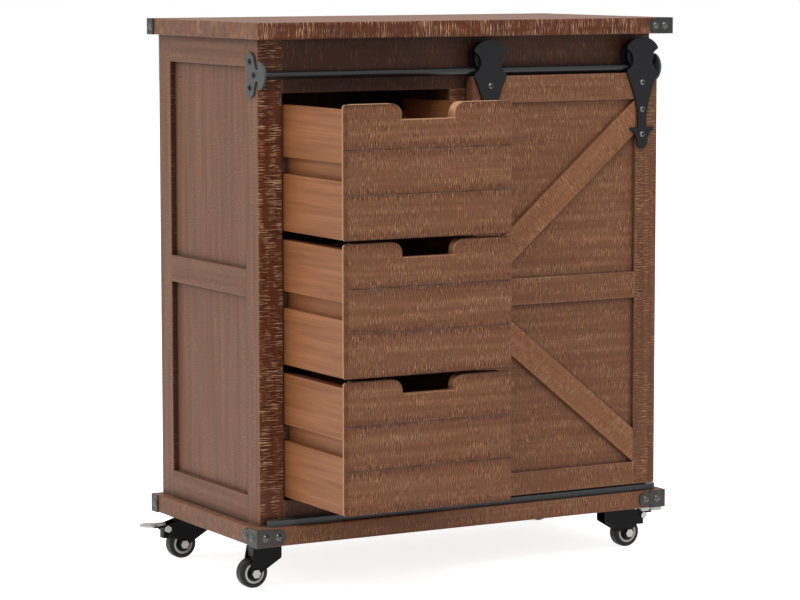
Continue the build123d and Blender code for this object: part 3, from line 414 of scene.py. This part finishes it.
metals = {
    # Powder-coated steel, matt charcoal: a fine even orange peel
    "powderCoat": {
        "sockets": {"IOR": 1.5, "Specular IOR Level": 0.2}, "cell": 1.2, "low": "#111113", "high": "#18181b",
        "rough": (0.45, 0.6), "bump": 0.15, "arris": 0.8,
        "nodes": ["hangers", "door_guides", "roller_axles", "left_roller", "right_roller"],
    },
    # Drawn rod under the same coat: smoother, so it catches a long highlight
    "coatedRod": {
        "sockets": {"IOR": 1.5, "Specular IOR Level": 0.5}, "cell": 1.2, "low": "#101013", "high": "#17171b",
        "rough": (0.28, 0.4), "bump": 0.08, "arris": 0.5, "nodes": ["rail_rod"],
    },
    # Floor track and end plates, the coat rubbed greyer
    "rubbedCoat": {
        "sockets": {"IOR": 1.5, "Specular IOR Level": 0.4}, "cell": 1.6, "low": "#343637", "high": "#434546",
        "rough": (0.4, 0.55), "bump": 0.15, "arris": 0.8, "nodes": ["rail_plates", "door_track"],
    },
    # Aged iron on the base corners, brown grey: mottled by handling
    "agedIron": {
        "sockets": {"IOR": 1.5, "Specular IOR Level": 0.4}, "cell": 7, "low": "#221f1b", "high": "#3b3631",
        "rough": (0.35, 0.6), "bump": 0.25, "arris": 1.0, "nodes": ["base_corner_brackets"],
    },
    # The same iron on the top corners, less handled and darker
    "darkIron": {
        "sockets": {"IOR": 1.5, "Specular IOR Level": 0.4}, "cell": 7, "low": "#151716", "high": "#252927",
        "rough": (0.35, 0.6), "bump": 0.25, "arris": 1.0, "nodes": ["top_corner_brackets"],
    },
    # Domed iron rivets in the brackets: dark, polished by handling
    "ironRivet": {
        "sockets": {"IOR": 1.5, "Specular IOR Level": 0.9}, "cell": 3, "low": "#191716", "high": "#2a2725",
        "rough": (0.18, 0.3), "bump": 0.1, "arris": 0.5, "nodes": ["bracket_rivets"],
    },
    # Caster plates, stamped steel with a satin black coat
    "casterBlack": {
        "sockets": {"IOR": 1.5, "Specular IOR Level": 0.3}, "cell": 2.0, "low": "#0a0a0b", "high": "#111113",
        "rough": (0.35, 0.5), "bump": 0.1, "arris": 0.6, "nodes": ["caster_plates"],
    },
    # Hanger bolts, dull zinc: a grey ring round a socket painted as dark shade
    "socketBolt": {
        "sockets": {"Metallic": 1.0}, "cell": 1.0, "low": "#5c5c5b", "high": "#787876", "centre": "#131313",
        "rough": (0.4, 0.55), "bump": 0.1, "arris": 0.4, "nodes": ["hanger_bolts"],
    },
    # Black oxide screw heads on the end plates: dark and glossy
    "blackOxide": {
        "sockets": {"Metallic": 1.0}, "cell": 1.0, "low": "#1c1c1e", "high": "#303034",
        "rough": (0.12, 0.22), "bump": 0.1, "arris": 0.4, "nodes": ["rail_plate_screws"],
    },
    # Bright zinc: pressed and plated steel, soft reflections
    "brightZinc": {
        "sockets": {"Metallic": 1.0}, "cell": 1.2, "low": "#8f8f8f", "high": "#b9b9b7",
        "rough": (0.28, 0.42), "bump": 0.1, "arris": 0.4, "nodes": ["caster_plate_screws"],
    },
}
metalMaterials = {}
for name, look in metals.items():
    metalMaterials[name] = metal(name, look)
    dress(metalMaterials[name], look["nodes"])

# Casters: black forks with zinc axle bolts, black pedals with a zinc plate on top, and rubber tyres
# with a pale moulded ring round a dark hub
fork = {
    "sockets": {"IOR": 1.5, "Specular IOR Level": 0.12}, "paint": "#040405", "zinc": "#a5a5a3",
    "legReach": 11.7, "pedalPlateLow": 48.8, "cell": 1.5, "noise": {"Scale": 1.0, "Detail": 2.0},
    "rough": (0.28, 0.52), "arris": 0.7,
}
wheel = {
    "sockets": {"IOR": 1.5, "Specular IOR Level": 0.25},
    "rubber": "#0a0a0b", "scuff": "#191919", "ring": "#c4c0b6", "hub": "#141415",
    "ringInner": 11.1, "ringOuter": 14.1, "cell": 2.5,
    "noise": {"Scale": 1.0, "Detail": 3.0, "Roughness": 0.55},
    "scuffSpan": {"From Min": 0.4, "From Max": 0.75},
    "rough": (0.36, 0.58), "bump": {"Strength": 0.1, "Distance": 0.2 * mm},
}


def platedPaint(name, axis, middle, start):  # satin black paint, zinc further than start from middle
    material, tree, shader, coord = startMaterial(name, fork["sockets"])
    spot = coord.outputs["Object"]
    place = addNode(tree, "ShaderNodeSeparateXYZ", {0: spot})
    offset = addNode(tree, "ShaderNodeMath", {0: place.outputs[axis], 1: middle}, operation="SUBTRACT")
    reach = addNode(tree, "ShaderNodeMath", {0: offset.outputs[0]}, operation="ABSOLUTE")
    plated = addNode(tree, "ShaderNodeMath", {0: reach.outputs[0], 1: start * mm}, operation="GREATER_THAN")
    tones = {0: plated.outputs[0], 6: tone(fork["paint"]), 7: tone(fork["zinc"])}
    colour = addNode(tree, "ShaderNodeMix", tones, data_type="RGBA")
    fine = addNode(tree, "ShaderNodeMapping", {"Vector": spot, "Scale": cells(fork["cell"], fork["cell"])})
    figure = {"Vector": fine.outputs[0], **fork["noise"]}
    speckle = addNode(tree, "ShaderNodeTexNoise", figure).outputs["Fac"]
    smooth, coarse = fork["rough"]
    gloss = addNode(tree, "ShaderNodeMapRange", {"Value": speckle, "To Min": smooth, "To Max": coarse})
    soft = addNode(tree, "ShaderNodeBevel", {"Radius": fork["arris"] * mm}, samples=edgeSamples)
    tree.links.new(colour.outputs[2], shader.inputs["Base Color"])
    tree.links.new(plated.outputs[0], shader.inputs["Metallic"])
    tree.links.new(gloss.outputs[0], shader.inputs["Roughness"])
    tree.links.new(soft.outputs["Normal"], shader.inputs["Normal"])
    return material


def wheelRubber(name, centre):  # moulded rubber, scuffed, with the ring and hub by radius
    material, tree, shader, coord = startMaterial(name, wheel["sockets"])
    spot = coord.outputs["Object"]
    offset = addNode(tree, "ShaderNodeVectorMath", {0: spot, 1: centre}, operation="SUBTRACT")
    flat = addNode(tree, "ShaderNodeVectorMath", {0: offset.outputs[0], 1: (1, 0, 1)}, operation="MULTIPLY")
    radius = addNode(tree, "ShaderNodeVectorMath", {0: flat.outputs[0]}, operation="LENGTH").outputs["Value"]
    fine = addNode(tree, "ShaderNodeMapping", {"Vector": spot, "Scale": cells(wheel["cell"], wheel["cell"])})
    figure = {"Vector": fine.outputs[0], **wheel["noise"]}
    scuff = addNode(tree, "ShaderNodeTexNoise", figure).outputs["Fac"]
    rubbed = addNode(tree, "ShaderNodeMapRange", {"Value": scuff, **wheel["scuffSpan"]})
    tones = {0: rubbed.outputs[0], 6: tone(wheel["rubber"]), 7: tone(wheel["scuff"])}
    colour = addNode(tree, "ShaderNodeMix", tones, data_type="RGBA").outputs[2]
    for edge, key in (("ringOuter", "ring"), ("ringInner", "hub")):
        inside = addNode(tree, "ShaderNodeMath", {0: radius, 1: wheel[edge] * mm}, operation="LESS_THAN")
        tones = {0: inside.outputs[0], 6: colour, 7: tone(wheel[key])}
        colour = addNode(tree, "ShaderNodeMix", tones, data_type="RGBA").outputs[2]
    smooth, coarse = wheel["rough"]
    gloss = addNode(tree, "ShaderNodeMapRange", {"Value": scuff, "To Min": smooth, "To Max": coarse})
    bump = addNode(tree, "ShaderNodeBump", {"Height": scuff, **wheel["bump"]})
    tree.links.new(colour, shader.inputs["Base Color"])
    tree.links.new(gloss.outputs[0], shader.inputs["Roughness"])
    tree.links.new(bump.outputs["Normal"], shader.inputs["Normal"])
    return material


casterCentres = {}
for corner in ("front_left", "back_left", "front_right", "back_right"):
    low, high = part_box(f"{corner}_wheel")
    casterCentres[corner] = [(low[i] + high[i]) / 2 for i in range(3)]
    dress(wheelRubber(f"{corner}_tyre", casterCentres[corner]), [f"{corner}_wheel"])
    dress(platedPaint(f"{corner}_paint", 1, casterCentres[corner][1], fork["legReach"]), [f"{corner}_fork"])
pedalPaint = platedPaint("pedalPaint", 2, 0.0, fork["pedalPlateLow"])
dress(pedalPaint, ["back_left_pedal", "front_right_pedal"])
print("casters dressed")

# Hex heads on the pins of the brake pedals, outside both legs of the fork: one is made and copied
pivotBolt = {
    "corners": 6, "radius": 4.3, "height": 2.4, "crownInset": 1.0, "crown": 0.7,
    "chamfer": 0.3, "chamferSteps": 2, "endFacing": 0.9,
    "legOuter": 11.5, "reach": 25.0, "rise": 24.0,
}
bpy.ops.object.select_all(action="DESELECT")
bpy.ops.mesh.primitive_cylinder_add(
    vertices=pivotBolt["corners"], radius=pivotBolt["radius"] * mm, depth=pivotBolt["height"] * mm,
    rotation=(math.pi / 2, 0, 0),
)
bolt = bpy.context.object
bpy.ops.object.transform_apply(location=True, rotation=True, scale=True)
for face in bolt.data.polygons:
    face.select = abs(face.normal.y) > pivotBolt["endFacing"]
bpy.ops.object.mode_set(mode="EDIT")
bpy.ops.mesh.select_mode(type="FACE")
bpy.ops.mesh.inset(thickness=pivotBolt["crownInset"] * mm, depth=pivotBolt["crown"] * mm)
bpy.ops.object.mode_set(mode="OBJECT")
bpy.ops.object.modifier_add(type="BEVEL")
bolt.modifiers[-1].width = pivotBolt["chamfer"] * mm
bolt.modifiers[-1].segments = pivotBolt["chamferSteps"]
bpy.ops.object.modifier_apply(modifier=bolt.modifiers[-1].name)
bolt.data.materials.append(metalMaterials["brightZinc"])
for corner, way in (("back_left", -1), ("front_right", 1)):
    wheelX, wheelY, wheelZ = casterCentres[corner]
    for side, end in ((-1, "near"), (1, "far")):
        bpy.ops.object.select_all(action="DESELECT")
        bolt.select_set(True)
        bpy.context.view_layer.objects.active = bolt
        bpy.ops.object.duplicate()
        head = bpy.context.object
        head.name = f"pivot_bolt_{corner}_{end}"
        head.location = (
            wheelX + way * pivotBolt["reach"] * mm,
            wheelY + side * (pivotBolt["legOuter"] + pivotBolt["height"] / 2) * mm,
            wheelZ + pivotBolt["rise"] * mm,
        )
        bpy.ops.object.transform_apply(location=True, rotation=True, scale=True)
        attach(head, f"swivel_{corner}")
bpy.data.objects.remove(bolt)
print("pivot bolts placed")

# Floor and light: white paper floor, big softboxes, white surroundings
stage = {
    "floorSize": 30.0, "floorTone": "#f2f2f2", "floorSockets": {"Roughness": 0.9, "Specular IOR Level": 0.1},
    "glow": 0.8, "worldFill": 0.62, "white": (1, 1, 1, 1),
}
bpy.ops.object.select_all(action="DESELECT")
bpy.ops.mesh.primitive_plane_add(size=stage["floorSize"])
floor = bpy.context.object
floor.name = "studio_floor"
paper, tree, shader, _ = startMaterial("whitePaper", stage["floorSockets"])
shader.inputs["Base Color"].default_value = tone(stage["floorTone"])
shader.inputs["Emission Color"].default_value = stage["white"]


def whiteRays(tree):  # 1 on rays that should see plain white
    rays = addNode(tree, "ShaderNodeLightPath").outputs
    mirrors = {0: rays["Is Glossy Ray"], 1: rays["Is Transmission Ray"]}
    mirror = addNode(tree, "ShaderNodeMath", mirrors, operation="MAXIMUM")
    seen = {0: rays["Is Camera Ray"], 1: mirror.outputs[0]}
    return addNode(tree, "ShaderNodeMath", seen, operation="MAXIMUM").outputs[0]


glow = addNode(tree, "ShaderNodeMath", {0: whiteRays(tree), 1: stage["glow"]}, operation="MULTIPLY")
tree.links.new(glow.outputs[0], shader.inputs["Emission Strength"])
floor.data.materials.append(paper)

world = bpy.data.worlds.new("studio")
bpy.context.scene.world = world
world.use_nodes = True
tree = world.node_tree
back = tree.nodes["Background"]
back.inputs["Color"].default_value = stage["white"]
level = addNode(tree, "ShaderNodeMapRange", {"Value": whiteRays(tree), "To Min": stage["worldFill"]})
tree.links.new(level.outputs[0], back.inputs["Strength"])

lamps = {
    "overheadBox": {"place": (-0.7, -1.3, 3.0), "aim": (0, -0.1, 0.4), "size": 2.0, "power": 55},
    "leftBox": {"place": (-3.0, 0.3, 1.8), "aim": (0, 0, 0.4), "size": 1.6, "power": 14},
}


def aimed(place, aim):  # turn that points local -Z from place to aim
    dx, dy, dz = (aim[i] - place[i] for i in range(3))
    flat = math.hypot(dx, dy)
    return (math.pi / 2 + math.atan2(dz, flat), 0, math.atan2(dy, dx) - math.pi / 2)


for name, lamp in lamps.items():
    bpy.ops.object.light_add(type="AREA", location=lamp["place"], rotation=aimed(lamp["place"], lamp["aim"]))
    light = bpy.context.object
    light.name = name
    light.data.shape = "SQUARE"
    light.data.size = lamp["size"]
    light.data.energy = lamp["power"]

# Camera, fitted to the photograph's edges for an 800 x 600 picture
camera = {
    "place": (-2.1547, -3.8042, 0.8519), "yaw": 29.336, "pitch": 6.4, "roll": 0.052,
    "focalPx": 3104.9, "widthPx": 800, "sensor": 36, "clipEnd": 60,
}
turn = (math.radians(90 - camera["pitch"]), math.radians(camera["roll"]), math.radians(-camera["yaw"]))
bpy.ops.object.camera_add(location=camera["place"], rotation=turn)
eye = bpy.context.object
eye.data.sensor_width = camera["sensor"]
eye.data.lens = camera["focalPx"] * camera["sensor"] / camera["widthPx"]
eye.data.clip_end = camera["clipEnd"]
bpy.context.scene.camera = eye
bpy.context.scene.view_settings.view_transform = "Standard"
print("floor, light and camera set")
